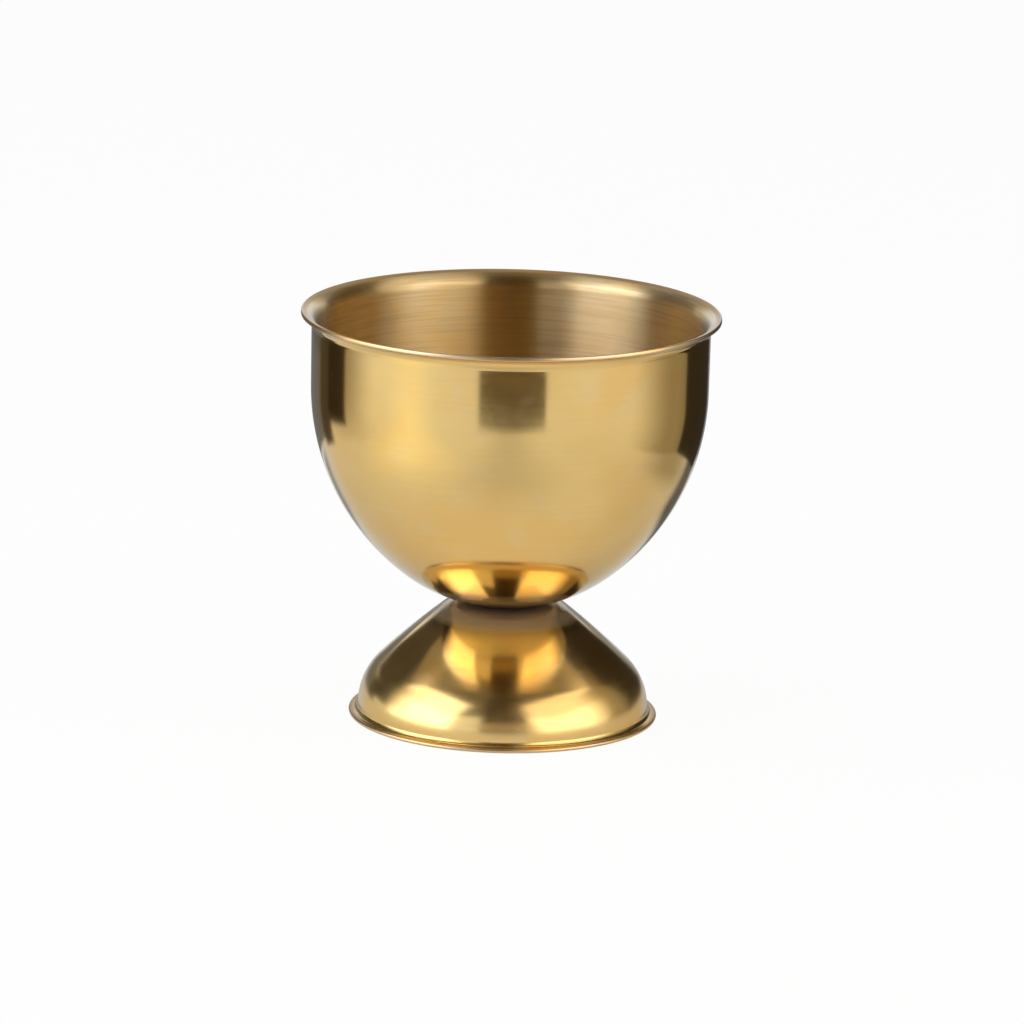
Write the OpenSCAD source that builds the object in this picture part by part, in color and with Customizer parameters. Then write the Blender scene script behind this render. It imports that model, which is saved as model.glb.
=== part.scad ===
// Egg cup of pressed sheet metal: a deep bowl with a flared lip stands on a bell foot.
// The bowl's flat seat lies on the foot's flat crown, and spot welds join the two sheets there.
// The origin is the centre of the base, on the surface the cup stands on, with Z up.

/* [Bowl] */
// Height of the bowl from its seat to the crest of the lip
bowl_h = 35.3; // [31:0.1:42]
// Outer diameter of the bowl, where its round side runs into the straight wall
bowl_d = 47.4; // [42.4:0.5:52.4]
// Thickness of the bowl's sheet
bowl_t = 0.5; // [0.4:0.05:0.7]
// Outward lean of the wall, in degrees
wall_lean = 0.4; // [0.2:0.1:2]
// How far past the cup's axis the round side is centred
side_over = 4.6; // [2:0.1:7]
// Turn of the round bottom from straight down to where the side takes over, in degrees
bottom_turn = 37; // [32:0.5:52]
// Diameter of the flat seat under the bowl
seat_d = 7.6; // [7:0.1:9]
// Outer radius of the bend round the seat
seat_bend_r = 4; // [3:0.5:6]

/* [Lip] */
// Radius of the lip's outward bend, on its hollow side
lip_bend_r = 1.5; // [1.2:0.1:2]
// Turn of the lip away from the wall, in degrees
lip_turn = 82; // [70:1:88]

/* [Foot] */
// Height of the foot, up to its flat crown
foot_h = 14; // [13:0.1:15]
// Thickness of the foot's sheet
foot_t = 0.5; // [0.4:0.05:0.7]
// Outer radius of the bend round the crown
crown_bend_r = 3.5; // [2:0.1:4]
// Outer diameter of the bell above its flare
bell_d = 34.8; // [33:0.1:38]
// Outer radius of the bell's nearly straight side
bell_side_r = 96; // [80:1:120]
// Outer radius of the bell's shoulder
shoulder_r = 7.6; // [7:0.1:9]
// Turn of the shoulder from upright to where the side takes over, in degrees
shoulder_turn = 45; // [43:0.5:47]
// Radius of the flare between the bell and the flange
flare_r = 0.6; // [0.4:0.1:0.8]
// How far the flange that the cup stands on reaches past the bell
flange_w = 1.1; // [1.1:0.1:2]

/* [Welds] */
// Number of weld nuggets
weld_count = 3; // [2:1:4]
// Diameter of a weld nugget
weld_d = 2.4; // [1.6:0.2:2.4]
// Flat left between a nugget and the edge of the seat
weld_margin = 0.2; // [0.1:0.05:0.4]
// Sheet left sound above and below a nugget
weld_skin = 0.1; // [0.05:0.05:0.15]

/* [Hidden] */
$fn = 180;

gold = [0.84, 0.68, 0.38];
bare_steel = [0.62, 0.61, 0.58];

// Angles are taken from +X towards +Z, so straight down is -90
down = -90;
up = 90;
half = 180;
full = 360;
// Turn between two neighbouring points of a nearly straight curve, a wide curve and a tight bend
long_step = 1;
wide_step = 3;
tight_step = 10;

function ray(angle) = [cos(angle), sin(angle)];
function reverse(points) = [for (i = [len(points) - 1:-1:0]) points[i]];

// Points round a curve, from the first one or, where the curve before ends on it, from the next
function curve(centre, radius, from, to, step, first = 0) =
    let (steps = ceil(abs(to - from) / step))
    [for (i = [first:steps]) centre + radius * ray(from + (to - from) * i / steps)];

// Bowl: seat, bend, round bottom, side and wall follow each other without a corner
seat_r = seat_d / 2;
side_r = (bowl_d / 2 + side_over) / cos(wall_lean);
side_grow = side_over / sin(bottom_turn);
bottom_r = side_r - side_grow;
seat_centre = [seat_r, foot_h + seat_bend_r];
bottom_centre = [0, seat_centre[1] + sqrt(pow(bottom_r - seat_bend_r, 2) - pow(seat_r, 2))];
bottom_from = down + asin(seat_r / (bottom_r - seat_bend_r));
side_from = down + bottom_turn;
side_centre = bottom_centre - side_grow * ray(side_from);

// Lip: the bend starts square to the wall and ends at the sheet's free edge
lip_z = foot_h + bowl_h - (lip_bend_r + bowl_t) * sin(wall_lean + lip_turn);
wall_start_z = side_centre[1] - side_r * sin(wall_lean);
wall_end_z = lip_z + lip_bend_r * sin(wall_lean);
wall_end = [bowl_d / 2 + (wall_end_z - wall_start_z) * tan(wall_lean), wall_end_z];
lip_centre = wall_end + lip_bend_r * ray(-wall_lean);
lip_from = half - wall_lean;
lip_to = lip_from - lip_turn;

// Foot: crown, bend, side and shoulder follow each other without a corner
shoulder_centre = [bell_d / 2 - shoulder_r, foot_t + flare_r];
bell_side_centre = shoulder_centre - (bell_side_r - shoulder_r) * ray(shoulder_turn);
crown_reach = bell_side_r - crown_bend_r;
crown_turn = asin((foot_h - crown_bend_r - bell_side_centre[1]) / crown_reach);
crown_bend_centre = bell_side_centre + crown_reach * ray(crown_turn);
flare_centre = [bell_d / 2 + flare_r, foot_t + flare_r];
flange_edge_x = bell_d / 2 + flange_w - foot_t / 2;

// Welds
weld_r = weld_d / 2;
weld_circle_r = seat_r - weld_margin - weld_r;
weld_z = foot_h - foot_t + weld_skin;
weld_h = foot_t + bowl_t - 2 * weld_skin;

// One face of the bowl's sheet from the axis to the lip's edge, set inwards from the outer face
function bowl_face(inset) = concat(
    [[0, foot_h + inset]],
    curve(seat_centre, seat_bend_r - inset, down, bottom_from, wide_step),
    curve(bottom_centre, bottom_r - inset, bottom_from, side_from, wide_step, 1),
    curve(side_centre, side_r - inset, side_from, -wall_lean, wide_step, 1),
    curve(lip_centre, lip_bend_r + inset, lip_from, lip_to, tight_step)
);

// One face of the foot's sheet from the axis to the flange, set inwards from the outer face
function foot_face(inset) = concat(
    [[0, foot_h - inset]],
    curve(crown_bend_centre, crown_bend_r - inset, up, crown_turn, wide_step),
    curve(bell_side_centre, bell_side_r - inset, crown_turn, shoulder_turn, long_step, 1),
    curve(shoulder_centre, shoulder_r - inset, shoulder_turn, 0, wide_step, 1),
    curve(flare_centre, flare_r + inset, half, half + up, tight_step, 1)
);

module weld_row() {
    for (i = [0:weld_count - 1])
        rotate(i * full / weld_count)
            translate([weld_circle_r, 0, weld_z])
                cylinder(r = weld_r, h = weld_h);
}

module bowl() {
    color(gold) difference() {
        rotate_extrude() polygon(concat(bowl_face(0), reverse(bowl_face(bowl_t))));
        weld_row();
    }
}

module foot() {
    flange_edge = curve([flange_edge_x, foot_t / 2], foot_t / 2, up, down, tight_step);
    color(gold) difference() {
        rotate_extrude() polygon(concat(foot_face(0), flange_edge, reverse(foot_face(foot_t))));
        weld_row();
    }
}

module weld_nuggets() {
    color(bare_steel) weld_row();
}

bowl();
foot();
weld_nuggets();
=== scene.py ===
import math

import bmesh
import bpy
from mathutils import Matrix, Vector


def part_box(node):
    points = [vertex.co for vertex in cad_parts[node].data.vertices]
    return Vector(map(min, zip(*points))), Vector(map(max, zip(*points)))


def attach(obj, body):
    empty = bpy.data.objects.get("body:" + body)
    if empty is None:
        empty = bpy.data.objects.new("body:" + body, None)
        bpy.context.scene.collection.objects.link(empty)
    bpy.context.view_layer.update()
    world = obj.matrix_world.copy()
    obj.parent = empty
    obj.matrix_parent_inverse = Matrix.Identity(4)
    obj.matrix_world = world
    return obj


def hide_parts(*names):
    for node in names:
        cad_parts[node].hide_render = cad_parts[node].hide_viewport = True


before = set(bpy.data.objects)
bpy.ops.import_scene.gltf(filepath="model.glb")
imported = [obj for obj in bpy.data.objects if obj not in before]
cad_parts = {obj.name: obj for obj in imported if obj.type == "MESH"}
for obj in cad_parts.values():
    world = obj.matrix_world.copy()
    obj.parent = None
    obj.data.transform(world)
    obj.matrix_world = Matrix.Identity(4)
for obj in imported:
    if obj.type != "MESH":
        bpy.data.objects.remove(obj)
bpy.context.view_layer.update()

# Egg cup of pressed sheet metal with a gold-coloured coat: a bowl with a flared lip on a bell foot.
# Lengths are in metres and Z is up along the cup's axis.

MM = 0.001
MICRON = 0.001 * MM
bowl_low, bowl_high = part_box("bowl")
foot_low, foot_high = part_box("foot")

# Sheet
SHEET = 0.5 * MM
EDGE_EASE = 0.14 * MM

# Bowl
CUP_H = bowl_high.z
SEAT_Z = bowl_low.z
BOWL_R = 23.7 * MM
WALL_LEAN = 0.4
SIDE_OVER = 4.6 * MM
BOTTOM_TURN = 37
SEAT_R = 3.8 * MM
SEAT_BEND_R = 4 * MM
LIP_BEND_R = 1.5 * MM
LIP_TURN = 82
CREST_H = 0.27 * MM

# Foot
FLANGE_R = foot_high.x
CROWN_BEND_R = 3.5 * MM
BELL_R = 17.4 * MM
BELL_SIDE_R = 96 * MM
SHOULDER_R = 7.6 * MM
SHOULDER_TURN = 45
FLARE_R = 0.6 * MM

# Marks that the welding electrodes leave in the two sheets
WELD_COUNT = 3
WELD_CIRCLE_R = 2.4 * MM
WELD_MARK_R = 1.7 * MM
WELD_MARK_DEPTH = 0.07 * MM

# How finely the shells are drawn
RING_STEPS = 288
ARC_STEP = 1.5
LONG_STEP = 0.25
BEND_STEP = 6
EASE_STEPS = 4
FLAT_STEP = 0.25 * MM
WALL_STEP = 1 * MM
LIP_STEP = 3
RIM_STEP = 12
MERGE_GAP = 2 * MICRON

# Marks on the sheet's points for its two faces and its free edge, and the places of their finishes
OUTER_FACE = 0.0
FREE_EDGE = 0.5
INNER_FACE = 1.0
TURNED_SLOT = 1
CUT_SLOT = 2

# Camera, fitted to the photograph of 1024 by 1024 pixels
PHOTO_PX = 1024
PHOTO_MIDDLE_PX = PHOTO_PX / 2
AIM_Z = 24 * MM
AIM_PX_X = 506.8
AIM_PX_Y = 518.8
CAMERA_DISTANCE = 900 * MM
CAMERA_ELEVATION = 13.78
CAMERA_ROLL = 1.35
PX_PER_METRE = 8361
SENSOR_W = 36
CLIP_START = 10 * MM
CLIP_END = 20


def ray(angle):
    """The unit vector at an angle from +X towards +Z, in degrees."""
    return Vector((math.cos(math.radians(angle)), 0, math.sin(math.radians(angle))))


def arc(centre, radius, start, end, step):
    """Points round an arc, both ends included."""
    steps = max(1, math.ceil(abs(end - start) / step))
    return [centre + radius * ray(start + (end - start) * i / steps) for i in range(steps + 1)]


def line(start, end, step=FLAT_STEP):
    """Points along a straight stretch, both ends included."""
    steps = max(1, math.ceil((end - start).length / step))
    return [start.lerp(end, i / steps) for i in range(steps + 1)]


def bowl_arcs():
    """Centre, radius on the outer face, and angles of the bowl's arcs, from the seat to the lip."""
    side_r = (BOWL_R + SIDE_OVER) / math.cos(math.radians(WALL_LEAN))
    side_grow = SIDE_OVER / math.sin(math.radians(BOTTOM_TURN))
    bottom_r = side_r - side_grow
    seat_centre = Vector((SEAT_R, 0, SEAT_Z + SEAT_BEND_R))
    rise = math.sqrt((bottom_r - SEAT_BEND_R) ** 2 - SEAT_R**2)
    bottom_centre = Vector((0, 0, seat_centre.z + rise))
    bottom_from = -90 + math.degrees(math.asin(SEAT_R / (bottom_r - SEAT_BEND_R)))
    side_from = -90 + BOTTOM_TURN
    side_centre = bottom_centre - side_grow * ray(side_from)
    lip_z = CUP_H - (LIP_BEND_R + SHEET) * math.sin(math.radians(WALL_LEAN + LIP_TURN))
    wall_start_z = side_centre.z - side_r * math.sin(math.radians(WALL_LEAN))
    wall_end_z = lip_z + LIP_BEND_R * math.sin(math.radians(WALL_LEAN))
    wall_end_x = BOWL_R + (wall_end_z - wall_start_z) * math.tan(math.radians(WALL_LEAN))
    lip_centre = Vector((wall_end_x, 0, wall_end_z)) + LIP_BEND_R * ray(-WALL_LEAN)
    return {
        "seat": (seat_centre, SEAT_BEND_R, -90, bottom_from),
        "bottom": (bottom_centre, bottom_r, bottom_from, side_from),
        "side": (side_centre, side_r, side_from, -WALL_LEAN),
        "lip": (lip_centre, LIP_BEND_R, 180 - WALL_LEAN, 180 - WALL_LEAN - LIP_TURN),
    }


def bowl_face(inset):
    """One face of the bowl's sheet, from the axis to just short of the lip's free edge."""
    arcs = bowl_arcs()
    seat_centre, seat_r, seat_from, seat_to = arcs["seat"]
    bottom_centre, bottom_r, bottom_from, bottom_to = arcs["bottom"]
    side_centre, side_r, side_from, side_to = arcs["side"]
    lip_centre, lip_r, lip_from, lip_to = arcs["lip"]
    lip_face_r = lip_r + inset
    ease_turn = math.degrees(EDGE_EASE / lip_face_r)
    seat_edge = Vector((SEAT_R, 0, SEAT_Z + inset))
    wall_low = side_centre + (side_r - inset) * ray(side_to)
    wall_top = lip_centre + lip_face_r * ray(lip_from)
    return (
        line(Vector((0, 0, SEAT_Z + inset)), seat_edge)
        + arc(seat_centre, seat_r - inset, seat_from, seat_to, BEND_STEP)[1:]
        + arc(bottom_centre, bottom_r - inset, bottom_from, bottom_to, ARC_STEP)[1:]
        + arc(side_centre, side_r - inset, side_from, side_to, ARC_STEP)[1:]
        + line(wall_low, wall_top, WALL_STEP)[1:]
        + arc(lip_centre, lip_face_r, lip_from, lip_to + ease_turn, LIP_STEP)[1:]
    )


def foot_arcs():
    """Centre, radius on the outer face, and angles of the foot's arcs, from the crown down."""
    shoulder_centre = Vector((BELL_R - SHOULDER_R, 0, SHEET + FLARE_R))
    side_centre = shoulder_centre - (BELL_SIDE_R - SHOULDER_R) * ray(SHOULDER_TURN)
    reach = BELL_SIDE_R - CROWN_BEND_R
    crown_turn = math.degrees(math.asin((SEAT_Z - CROWN_BEND_R - side_centre.z) / reach))
    crown_centre = side_centre + reach * ray(crown_turn)
    flare_centre = Vector((BELL_R + FLARE_R, 0, SHEET + FLARE_R))
    return {
        "crown": (crown_centre, CROWN_BEND_R, 90, crown_turn),
        "side": (side_centre, BELL_SIDE_R, crown_turn, SHOULDER_TURN),
        "shoulder": (shoulder_centre, SHOULDER_R, SHOULDER_TURN, 0),
        "flare": (flare_centre, FLARE_R, 180, 270),
    }


def foot_face(inset):
    """One face of the foot's sheet, from the axis to the inner end of the flange."""
    arcs = foot_arcs()
    crown_centre, crown_r, crown_from, crown_to = arcs["crown"]
    side_centre, side_r, side_from, side_to = arcs["side"]
    shoulder_centre, shoulder_r, shoulder_from, shoulder_to = arcs["shoulder"]
    flare_centre, flare_r, flare_from, flare_to = arcs["flare"]
    return (
        line(Vector((0, 0, SEAT_Z - inset)), Vector((crown_centre.x, 0, SEAT_Z - inset)))
        + arc(crown_centre, crown_r - inset, crown_from, crown_to, ARC_STEP)[1:]
        + arc(side_centre, side_r - inset, side_from, side_to, LONG_STEP)[1:]
        + arc(shoulder_centre, shoulder_r - inset, shoulder_from, shoulder_to, ARC_STEP)[1:]
        + arc(flare_centre, flare_r + inset, flare_from, flare_to, BEND_STEP)[1:]
    )


def eased_edge(low, high, out_angle):
    """Points round the sheet's free edge, from its low face to its high one, with eased corners."""
    out, across = ray(out_angle), ray(out_angle + 90)
    low_centre = low - EDGE_EASE * out + EDGE_EASE * across
    high_centre = high - EDGE_EASE * out - EDGE_EASE * across
    step = 90 / EASE_STEPS
    return arc(low_centre, EDGE_EASE, out_angle - 90, out_angle, step) + arc(
        high_centre, EDGE_EASE, out_angle, out_angle + 90, step
    )


def spun_shell(name, outer, edge, inner, lip_z):
    """A closed shell spun from its outer face, free edge and inner face.

    Its faces take the first finish outside and the second inside. The third is for the free edge and
    for the inner face above the lip's height.
    """
    mesh_data = bmesh.new()
    inside = mesh_data.verts.layers.float.new("inside")
    along = mesh_data.verts.layers.float.new("along")
    points = [(point, OUTER_FACE) for point in outer]
    points += [(point, FREE_EDGE) for point in edge]
    points += [(point, INNER_FACE) for point in reversed(inner)]
    verts = []
    travelled = {OUTER_FACE: 0.0, FREE_EDGE: 0.0, INNER_FACE: 0.0}
    for i, (point, side) in enumerate(points):
        vert = mesh_data.verts.new(point)
        vert[inside] = side
        if i:
            travelled[side] += (point - points[i - 1][0]).length
        vert[along] = travelled[side]
        verts.append(vert)
    edges = [mesh_data.edges.new(pair) for pair in zip(verts, verts[1:])]
    bmesh.ops.spin(
        mesh_data, geom=verts + edges, cent=(0, 0, 0), axis=(0, 0, 1),
        angle=math.tau, steps=RING_STEPS, use_merge=True, use_duplicate=False,
    )
    bmesh.ops.remove_doubles(mesh_data, verts=mesh_data.verts, dist=MERGE_GAP)
    bmesh.ops.recalc_face_normals(mesh_data, faces=mesh_data.faces)
    for face in mesh_data.faces:
        face.smooth = True
        sides = {vert[inside] for vert in face.verts}
        above_lip = face.calc_center_median().z > lip_z
        if FREE_EDGE in sides or (sides == {INNER_FACE} and above_lip):
            face.material_index = CUT_SLOT
        elif sides == {INNER_FACE}:
            face.material_index = TURNED_SLOT
    mesh = bpy.data.meshes.new(name)
    mesh_data.to_mesh(mesh)
    mesh_data.free()
    shell = bpy.data.objects.new(name, mesh)
    bpy.context.scene.collection.objects.link(shell)
    return shell


def press_weld_marks(shell, face_z, push):
    """Presses the round electrode marks into one flat face of a shell."""
    for vert in shell.data.vertices:
        if abs(vert.co.z - face_z) > MICRON:
            continue
        for i in range(WELD_COUNT):
            turn = i * math.tau / WELD_COUNT
            mark = Vector((math.cos(turn), math.sin(turn))) * WELD_CIRCLE_R
            share = (vert.co.xy - mark).length / WELD_MARK_R
            if share < 1:
                vert.co.z += push * WELD_MARK_DEPTH * (1 - share**2) ** 2
                break


class Value:
    """A shader socket that is used in Python sums: each operator adds the Math node it needs."""

    def __init__(self, recipe, socket):
        self.recipe = recipe
        self.socket = socket

    def maths(self, operation, *others):
        inputs = {i: other for i, other in enumerate((self, *others))}
        return self.recipe.add("ShaderNodeMath", {"operation": operation}, inputs)

    def __add__(self, other):
        return self.maths("ADD", other)

    def __mul__(self, other):
        return self.maths("MULTIPLY", other)

    def __sub__(self, other):
        return self.maths("SUBTRACT", other)

    def __truediv__(self, other):
        return self.maths("DIVIDE", other)

    def __rsub__(self, other):
        return self.recipe.add("ShaderNodeMath", {"operation": "SUBTRACT"}, {0: other, 1: self})

    __radd__ = __add__
    __rmul__ = __mul__


class Recipe:
    """A material's or world's nodes, added one at a time by type, settings and inputs."""

    def __init__(self, owner):
        owner.use_nodes = True
        self.tree = owner.node_tree
        self.tree.nodes.clear()

    def add(self, kind, settings=None, inputs=None, output=0):
        node = self.tree.nodes.new(kind)
        for name, value in (settings or {}).items():
            if name == "stops":
                set_stops(node.color_ramp, value)
            else:
                setattr(node, name, value)
        for name, value in (inputs or {}).items():
            if isinstance(value, Value):
                self.tree.links.new(value.socket, node.inputs[name])
            else:
                node.inputs[name].default_value = value
        return Value(self, node.outputs[output]) if len(node.outputs) else node

    def mix(self, share, first, second):
        """Blends two colours by a share from 0 to 1, through a Mix node's sockets for colours."""
        inputs = {0: share, 6: first, 7: second}
        return self.add("ShaderNodeMix", {"data_type": "RGBA"}, inputs, output=2)

    def blend(self, share, first, second):
        """Blends two shaders by a share from 0 to 1."""
        return self.add("ShaderNodeMixShader", inputs={0: share, 1: first, 2: second})

    def split(self, vector):
        """The X and Y of a vector."""
        parts = self.add("ShaderNodeSeparateXYZ", inputs={"Vector": vector}).socket.node
        return Value(self, parts.outputs["X"]), Value(self, parts.outputs["Y"])

    def smooth(self, value, low, high, to_low=0.0, to_high=1.0):
        """Maps a value from one range to another with soft ends."""
        return self.add(
            "ShaderNodeMapRange", {"interpolation_type": "SMOOTHSTEP"},
            {"Value": value, "From Min": low, "From Max": high, "To Min": to_low, "To Max": to_high},
        )

    def noise(self, vector, scale, detail=2.0, roughness=0.5):
        return self.add(
            "ShaderNodeTexNoise", {"noise_dimensions": "3D"},
            {"Vector": vector, "Scale": scale, "Detail": detail, "Roughness": roughness},
        )


# Finishes. Colours are linear.
GOLD = (0.82, 0.59, 0.24, 1)
GOLD_WARM = (0.80, 0.53, 0.19, 1)
GOLD_PALE = (0.78, 0.61, 0.35, 1)
GOLD_TURNED = (0.76, 0.63, 0.41, 1)
GOLD_CUT = (0.66, 0.50, 0.33, 1)
GOLD_STREAK = (0.56, 0.41, 0.2, 1)
# Painted reflection: the grey that the colour turns to where the surface is seen edge-on
GRAZING_REFLECTION_GREY = (0.68, 0.70, 0.70, 1)
# Painted shade at the neck, where the bowl and the foot meet: its colour, then its share and where it
# starts and ends to fade along the sheet
NECK_SHADE_COLOUR = (0.17, 0.13, 0.105, 1)
NO_NECK_SHADE = (0.0, 0.0, 1 * MM)
BOWL_NECK_SHADE = (0.15, 14 * MM, 19 * MM)
FOOT_NECK_SHADE = (0.85, 8 * MM, 11.5 * MM)
SHOULDER_START = 14 * MM
SHOULDER_END = 20 * MM
LINE_PITCH = 0.35 * MM
LINE_LENGTH = 12 * MM
CLOUD_SIZE = 14 * MM
SMUDGE_SIZE = 5 * MM

# Where a pattern or an angle starts and ends to tell, and how much it does at each end
WARM_CLOUDS = (0.38, 0.62, 0.0, 0.8)
PALE_SMUDGES = (0.5, 0.75, 0.0, 0.4)
DARK_LINES = (0.4, 0.7, 0.0)
GRAZING_REFLECTION_RANGE = (0.62, 1.0, 0.0, 0.8)
DULL_SMUDGES = (0.45, 0.7, 0.0, 0.18)
# The painted neck shade also makes the surface less metallic where it is deepest
NECK_SHADE_METAL = (0.4, 1.0, 1.0, 0.4)

# How far lines and clouds change the roughness, round their middle
NOISE_MIDDLE = 0.5
DULL_LINES = 0.5
DULL_CLOUDS = 0.3

# Weld metal
STEEL_BLUE = (0.34, 0.36, 0.42, 1)
STEEL_GREY = (0.55, 0.54, 0.52, 1)
STEEL_STRAW = (0.60, 0.50, 0.36, 1)
WELD_GRAIN = 0.6 * MM
WELD_BUMP = 30 * MICRON
WELD_ROUGHNESS = 0.32
WELD_UNEVEN = 0.25


def gold_finish(name, base, roughness, line_depth, streaks, pull=0.0, neck_shade=NO_NECK_SHADE, dulling=0.0):
    """Gold coat with fine lines round the axis, faint smudges and uneven tone.

    Pull stretches its glints upwards. A painted shade darkens the neck, where the bowl and the foot meet.
    Dulling is added to the roughness at the foot's shoulder.
    """
    material = bpy.data.materials.new(name)
    recipe = Recipe(material)
    place = recipe.add("ShaderNodeTexCoord", output="Object")
    along = recipe.add("ShaderNodeAttribute", {"attribute_name": "along"}, output="Fac")
    east, north = recipe.split(place)
    lines_at = recipe.add(
        "ShaderNodeCombineXYZ",
        inputs={"X": east / LINE_LENGTH, "Y": north / LINE_LENGTH, "Z": along / LINE_PITCH},
    )
    lines = recipe.noise(lines_at, scale=1.0, detail=3.0, roughness=0.6)
    clouds = recipe.noise(place, scale=1 / CLOUD_SIZE, detail=3.0, roughness=0.55)
    smudges = recipe.noise(place, scale=1 / SMUDGE_SIZE, detail=4.0, roughness=0.6)
    facing = recipe.add("ShaderNodeLayerWeight", inputs={"Blend": 0.5}, output="Facing")

    tone = recipe.mix(recipe.smooth(clouds, *WARM_CLOUDS), base, GOLD_WARM)
    tone = recipe.mix(recipe.smooth(smudges, *PALE_SMUDGES), tone, GOLD_PALE)
    tone = recipe.mix(recipe.smooth(lines, *DARK_LINES, streaks), tone, GOLD_STREAK)
    # Painted shade darkens the neck, where the bowl and the foot meet
    share, shade_from, shade_to = neck_shade
    neck = recipe.smooth(along, shade_from, shade_to, share, 0.0)
    tone = recipe.mix(neck, tone, NECK_SHADE_COLOUR)
    # Painted reflection: the colour turns grey where the surface is seen edge-on
    colour = recipe.mix(recipe.smooth(facing, *GRAZING_REFLECTION_RANGE), tone, GRAZING_REFLECTION_GREY)
    uneven_lines = (lines - NOISE_MIDDLE) * DULL_LINES
    uneven_clouds = (clouds - NOISE_MIDDLE) * DULL_CLOUDS
    uneven = recipe.smooth(smudges, *DULL_SMUDGES) + uneven_lines + uneven_clouds
    dull = recipe.smooth(along, SHOULDER_START, SHOULDER_END, 0.0, dulling)
    bump = recipe.add("ShaderNodeBump", inputs={"Height": lines, "Distance": line_depth, "Strength": 1.0})
    surface = recipe.add(
        "ShaderNodeBsdfPrincipled",
        inputs={
            "Base Color": colour, "Roughness": (roughness + dull) * (1 + uneven),
            "Metallic": recipe.smooth(neck, *NECK_SHADE_METAL), "Normal": bump,
            "Anisotropic": pull, "Anisotropic Rotation": 0.25,
        },
    )
    recipe.add("ShaderNodeOutputMaterial", inputs={"Surface": surface})
    return material


def weld_finish():
    """Bare weld metal, with a mottled grey and the blue and straw tints of heat."""
    material = bpy.data.materials.new("bare_steel")
    recipe = Recipe(material)
    place = recipe.add("ShaderNodeTexCoord", output="Object")
    mottle = recipe.noise(place, scale=1 / WELD_GRAIN, detail=4.0, roughness=0.6)
    stops = [(0.3, STEEL_BLUE), (0.5, STEEL_GREY), (0.7, STEEL_STRAW)]
    tint = recipe.add("ShaderNodeValToRGB", {"stops": stops}, {"Fac": mottle})
    bump = recipe.add("ShaderNodeBump", inputs={"Height": mottle, "Distance": WELD_BUMP, "Strength": 0.5})
    surface = recipe.add(
        "ShaderNodeBsdfPrincipled",
        inputs={
            "Base Color": tint, "Roughness": WELD_ROUGHNESS + mottle * WELD_UNEVEN,
            "Normal": bump, "Metallic": 1.0,
        },
    )
    recipe.add("ShaderNodeOutputMaterial", inputs={"Surface": surface})
    return material


def set_stops(ramp, stops):
    """Gives a colour ramp its stops, each a place from 0 to 1 and a colour."""
    while len(ramp.elements) > 1:
        ramp.elements.remove(ramp.elements[-1])
    ramp.elements[0].position, ramp.elements[0].color = stops[0]
    for place, colour in stops[1:]:
        ramp.elements.new(place).color = colour


def make_bowl():
    lip_centre, lip_r, _, lip_to = bowl_arcs()["lip"]
    edge = eased_edge(
        lip_centre + lip_r * ray(lip_to), lip_centre + (lip_r + SHEET) * ray(lip_to), lip_to - 90
    )
    bowl = spun_shell("bowl_shell", bowl_face(0), edge, bowl_face(SHEET), CUP_H - CREST_H)
    press_weld_marks(bowl, SEAT_Z + SHEET, push=-1)
    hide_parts("bowl")
    return bowl


def make_foot():
    rim_r = SHEET / 2
    edge = arc(Vector((FLANGE_R - rim_r, 0, rim_r)), rim_r, 90, -90, RIM_STEP)
    foot = spun_shell("foot_shell", foot_face(0), edge, foot_face(SHEET), CUP_H)
    press_weld_marks(foot, SEAT_Z - SHEET, push=1)
    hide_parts("foot")
    return foot


def dress_cup():
    polished = gold_finish(
        "gold_polished", GOLD, roughness=0.11, line_depth=0.1 * MICRON, streaks=0.08, neck_shade=BOWL_NECK_SHADE
    )
    satin = gold_finish(
        "gold_satin", GOLD, roughness=0.13, line_depth=0.3 * MICRON, streaks=0.12,
        neck_shade=FOOT_NECK_SHADE, dulling=0.085,
    )
    turned = gold_finish(
        "gold_turned", GOLD_TURNED, roughness=0.32, line_depth=8 * MICRON, streaks=0.5, pull=1.0
    )
    cut = gold_finish("gold_cut", GOLD_CUT, roughness=0.32, line_depth=1 * MICRON, streaks=0.3)
    for shell, outer in ((make_bowl(), polished), (make_foot(), satin)):
        for finish in (outer, turned, cut):
            shell.data.materials.append(finish)
        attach(shell, "root")
    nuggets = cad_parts["weld_nuggets"]
    nuggets.data.materials.clear()
    nuggets.data.materials.append(weld_finish())


# Studio. Angles go round the cup from the camera's side towards +X.
FLOOR_SIZE = 6.0
FLOOR_COLOUR = (0.88, 0.88, 0.87, 1)
FLOOR_WHITE_SHARE = 0.95
WORLD_FILL = 0.45
WHITE = (1, 1, 1, 1)
# Height of the cards that lie just above the floor, for painted shadows and a glow
FLOOR_CARD_Z = 0.3 * MM

# Colours of the cards, as light that they give off
BLACK = (0.035, 0.028, 0.02)
BROWN = (0.042, 0.029, 0.016)
DARK_GREY = (0.075, 0.065, 0.05)
DIM = (0.165, 0.145, 0.12)
GREY = (0.17, 0.17, 0.16)
TOP_GREY = (0.3, 0.25, 0.17)
PALE_GREY = (0.28, 0.28, 0.27)
BACK_GREY = (0.4, 0.35, 0.28)
# Painted shade: dim greys for the floor beside the cup where it lies in shade, seen only in the metal's
# reflections
WARM_SHADE_GREY = (0.33, 0.29, 0.22)
SIDE_SHADE_GREY = (0.38, 0.35, 0.3)
FRONT_HAZE = (0.4, 0.33, 0.21)
GLOW = (1.2, 1.13, 0.87)

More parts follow.
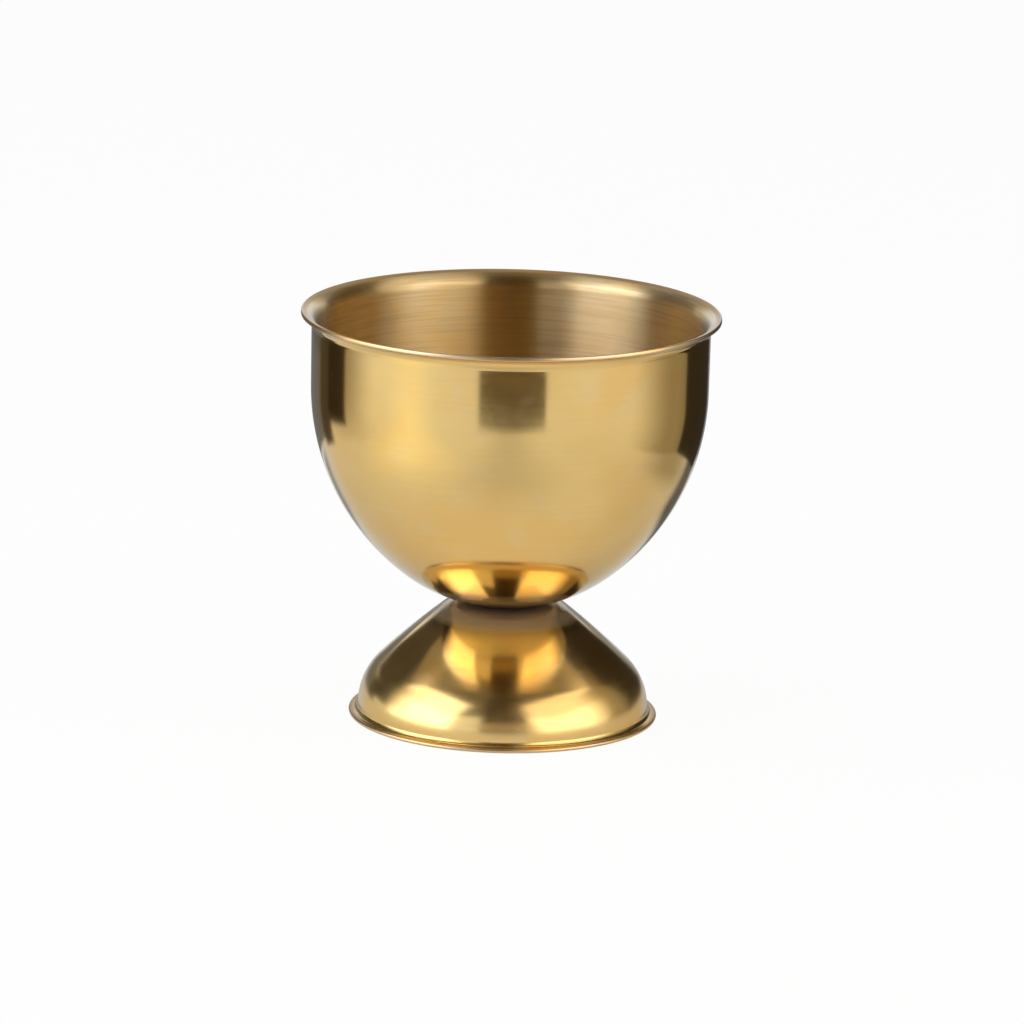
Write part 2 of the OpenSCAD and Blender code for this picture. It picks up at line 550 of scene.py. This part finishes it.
# Cards on edge that face the cup: name, angle, distance, width, low end, high end, colour, and the
# widths over which the sides and the ends fade out
STANDING_CARDS = (
    ("front_flag", 1.5, 0.18, 0.122, -0.003, 0.7, BROWN, (0.005, 0.005)),
    ("front_haze", 1.5, 0.175, 0.12, 0.0095, 0.056, FRONT_HAZE, (0.012, 0.005)),
    # Painted shade to the cup's left, where the floor beside it lies in shade
    ("left_side_shade", -100, 0.104, 0.1, -0.01, 0.1, SIDE_SHADE_GREY, (0.05, 0.04)),
    ("left_flag", -111, 0.1, 0.045, 0.008, 0.095, BLACK, (0.005, 0.005)),
    ("left_back_flag", -133, 0.098, 0.058, 0.024, 0.18, DARK_GREY, (0.006, 0.006)),
    ("left_grey", -141, 0.108, 0.09, -0.004, 0.03, GREY, (0.006, 0.006)),
    ("left_low_flag", -124, 0.1, 0.03, -0.005, 0.034, DARK_GREY, (0.008, 0.008)),
    ("left_back_grey", -165, 0.112, 0.06, -0.004, 0.032, PALE_GREY, (0.008, 0.008)),
    # Painted shade to the cup's right, where the floor beside it lies in shade
    ("right_side_shade", 99, 0.096, 0.125, -0.02, 0.1, WARM_SHADE_GREY, (0.062, 0.015)),
    ("right_flag", 127.5, 0.094, 0.092, -0.008, 0.18, BLACK, (0.008, 0.006)),
    ("right_back_grey", 163, 0.112, 0.06, -0.004, 0.032, PALE_GREY, (0.008, 0.008)),
    ("back_flag", 180, 0.5, 1.4, 0.17, 0.8, BACK_GREY, (0.05, 0.05)),
    ("left_top_grey", -109, 0.1, 0.05, 0.085, 0.24, TOP_GREY, (0.006, 0.01)),
)

# Level cards: name, angle, distance, height, width and depth, colour, opacity, and the same two widths
LEVEL_CARDS = (
    ("ceiling_flag", 0, 0.0, 0.6, (2.2, 2.2), DIM, 1.0, (0.1, 0.1)),
    ("back_ceiling", 180, 0.53, 0.59, (2.0, 1.1), BACK_GREY, 1.0, (0.1, 0.1)),
    # Painted shade on the floor in front of the cup, seen only in the metal's reflections
    ("front_floor_shade", 0, 0.115, 1.2 * FLOOR_CARD_Z, (0.09, 0.17), BROWN, 0.22, (0.044, 0.04)),
    # Painted shadows of the cup on the floor to its right and back right, seen only in the metal's
    # reflections
    ("right_floor_shadow", 141, 0.08, FLOOR_CARD_Z, (0.05, 0.074), BLACK, 0.85, (0.015, 0.015)),
    ("right_shade", 106, 0.086, 1.4 * FLOOR_CARD_Z, (0.1, 0.06), WARM_SHADE_GREY, 0.8, (0.045, 0.022)),
    # Painted shadow of the cup on the floor to its back left, seen only in the metal's reflections
    ("left_floor_shadow", -145, 0.078, FLOOR_CARD_Z, (0.034, 0.06), BLACK, 0.6, (0.015, 0.015)),
    ("left_glow", -56, 0.145, FLOOR_CARD_Z, (0.12, 0.2), GLOW, 1.0, (0.06, 0.055)),
)

# Lamps: name, angle, height above level in degrees, distance, width, height, brightness, colour
SOFT_BOXES = (
    ("left_box", -72, 24, 0.5, 0.6, 0.5, 2.1, (1.0, 1.0, 1.0)),
    ("right_box", 62, 26, 0.5, 0.7, 0.54, 1.45, (1.0, 0.92, 0.8)),
)


def around(azimuth, distance, height):
    """The point at an angle round the cup, seen from above: 0 is the camera's side and 90 is +X."""
    angle = math.radians(azimuth)
    return Vector((distance * math.sin(angle), -distance * math.cos(angle), height))


def card_finish(name, colour, opacity, soft_x, soft_y):
    """An even glow that fades out towards the card's edges, over shares of its width and height."""
    material = bpy.data.materials.new(name)
    recipe = Recipe(material)
    across = recipe.split(recipe.add("ShaderNodeTexCoord", output="UV"))
    share = opacity
    for at, soft in zip(across, (soft_x, soft_y)):
        share = recipe.smooth(at, 0.0, soft) * recipe.smooth(1 - at, 0.0, soft) * share
    clear = recipe.add("ShaderNodeBsdfTransparent")
    light = recipe.add("ShaderNodeEmission", inputs={"Color": (*colour, 1), "Strength": 1.0})
    surface = recipe.blend(share, clear, light)
    recipe.add("ShaderNodeOutputMaterial", inputs={"Surface": surface})
    return material


def card(name, size, place, colour, opacity, soft):
    """A card that only the metal sees. Its sides and ends fade out over the two widths in soft."""
    width, height = size
    soft_x, soft_y = soft
    mesh_data = bmesh.new()
    mesh_data.loops.layers.uv.new("UVMap")
    bmesh.ops.create_grid(mesh_data, x_segments=1, y_segments=1, size=0.5, calc_uvs=True)
    bmesh.ops.scale(mesh_data, vec=(width, height, 1), verts=mesh_data.verts)
    bmesh.ops.transform(mesh_data, matrix=place, verts=mesh_data.verts)
    mesh = bpy.data.meshes.new(name)
    mesh_data.to_mesh(mesh)
    mesh_data.free()
    sheet = bpy.data.objects.new(name, mesh)
    finish = card_finish(name, colour, opacity, soft_x / width, soft_y / height)
    sheet.data.materials.append(finish)
    bpy.context.scene.collection.objects.link(sheet)
    for kind in ("camera", "diffuse", "shadow", "transmission", "volume_scatter"):
        setattr(sheet, "visible_" + kind, False)


def standing_card(name, azimuth, distance, width, low, high, colour, soft):
    """A card on edge that faces the cup."""
    turn = Matrix.Rotation(math.radians(azimuth), 4, "Z") @ Matrix.Rotation(math.radians(90), 4, "X")
    middle = Matrix.Translation(around(azimuth, distance, (low + high) / 2))
    card(name, (width, high - low), middle @ turn, colour, 1.0, soft)


def level_card(name, azimuth, distance, height, size, colour, opacity, soft):
    """A level card, whose width lies across the line from the cup."""
    turn = Matrix.Rotation(math.radians(azimuth), 4, "Z")
    middle = Matrix.Translation(around(azimuth, distance, height))
    card(name, size, middle @ turn, colour, opacity, soft)


def soft_box(name, azimuth, elevation, distance, width, height, radiance, colour):
    """A rectangular lamp of even brightness that faces the cup. Its power follows from its area."""
    lamp = bpy.data.lights.new(name, "AREA")
    lamp.shape = "RECTANGLE"
    lamp.size, lamp.size_y = width, height
    lamp.energy = radiance * math.pi * width * height
    lamp.color = colour
    box = bpy.data.objects.new(name, lamp)
    flat = distance * math.cos(math.radians(elevation))
    box.location = around(azimuth, flat, AIM_Z + distance * math.sin(math.radians(elevation)))
    box.rotation_euler = (Vector((0, 0, AIM_Z)) - box.location).to_track_quat("-Z", "Y").to_euler()
    box.visible_camera = False
    bpy.context.scene.collection.objects.link(box)


def make_floor():
    mesh_data = bmesh.new()
    bmesh.ops.create_grid(mesh_data, x_segments=1, y_segments=1, size=FLOOR_SIZE / 2)
    mesh = bpy.data.meshes.new("floor")
    mesh_data.to_mesh(mesh)
    mesh_data.free()
    floor = bpy.data.objects.new("floor", mesh)
    bpy.context.scene.collection.objects.link(floor)
    material = bpy.data.materials.new("floor_white")
    recipe = Recipe(material)
    path = recipe.add("ShaderNodeLightPath").socket.node
    seen = Value(recipe, path.outputs["Is Camera Ray"])
    matt = recipe.add("ShaderNodeBsdfDiffuse", inputs={"Color": FLOOR_COLOUR})
    white = recipe.add("ShaderNodeEmission", inputs={"Color": WHITE, "Strength": 1.0})
    surface = recipe.blend(seen * FLOOR_WHITE_SHARE, matt, white)
    recipe.add("ShaderNodeOutputMaterial", inputs={"Surface": surface})
    floor.data.materials.append(material)


def make_world():
    world = bpy.data.worlds.new("studio")
    bpy.context.scene.world = world
    recipe = Recipe(world)
    path = recipe.add("ShaderNodeLightPath").socket.node
    seen = Value(recipe, path.outputs["Is Camera Ray"])
    mirrored = Value(recipe, path.outputs["Is Glossy Ray"])
    through = Value(recipe, path.outputs["Is Transmission Ray"])
    direct = seen.maths("MAXIMUM", mirrored.maths("MAXIMUM", through))
    strength = WORLD_FILL + (1 - WORLD_FILL) * direct
    sky = recipe.add("ShaderNodeBackground", inputs={"Color": WHITE, "Strength": strength})
    recipe.add("ShaderNodeOutputWorld", inputs={"Surface": sky})


def light_studio():
    make_world()
    make_floor()
    for standing in STANDING_CARDS:
        standing_card(*standing)
    for level in LEVEL_CARDS:
        level_card(*level)
    for box in SOFT_BOXES:
        soft_box(*box)


def place_camera():
    lens = bpy.data.cameras.new("camera")
    lens.sensor_width = SENSOR_W
    lens.lens = SENSOR_W * PX_PER_METRE * CAMERA_DISTANCE / PHOTO_PX
    lens.shift_x = (PHOTO_MIDDLE_PX - AIM_PX_X) / PHOTO_PX
    lens.shift_y = (AIM_PX_Y - PHOTO_MIDDLE_PX) / PHOTO_PX
    lens.clip_start, lens.clip_end = CLIP_START, CLIP_END
    camera = bpy.data.objects.new("camera", lens)
    bpy.context.scene.collection.objects.link(camera)
    lift = math.radians(CAMERA_ELEVATION)
    flat = CAMERA_DISTANCE * math.cos(lift)
    tilt = Matrix.Rotation(math.radians(90) - lift, 4, "X")
    roll = Matrix.Rotation(math.radians(CAMERA_ROLL), 4, "Z")
    place = Matrix.Translation(around(0, flat, AIM_Z + CAMERA_DISTANCE * math.sin(lift)))
    camera.matrix_world = place @ tilt @ roll
    bpy.context.scene.camera = camera


place_camera()
dress_cup()
light_studio()
bpy.context.scene.view_settings.view_transform = "Standard"
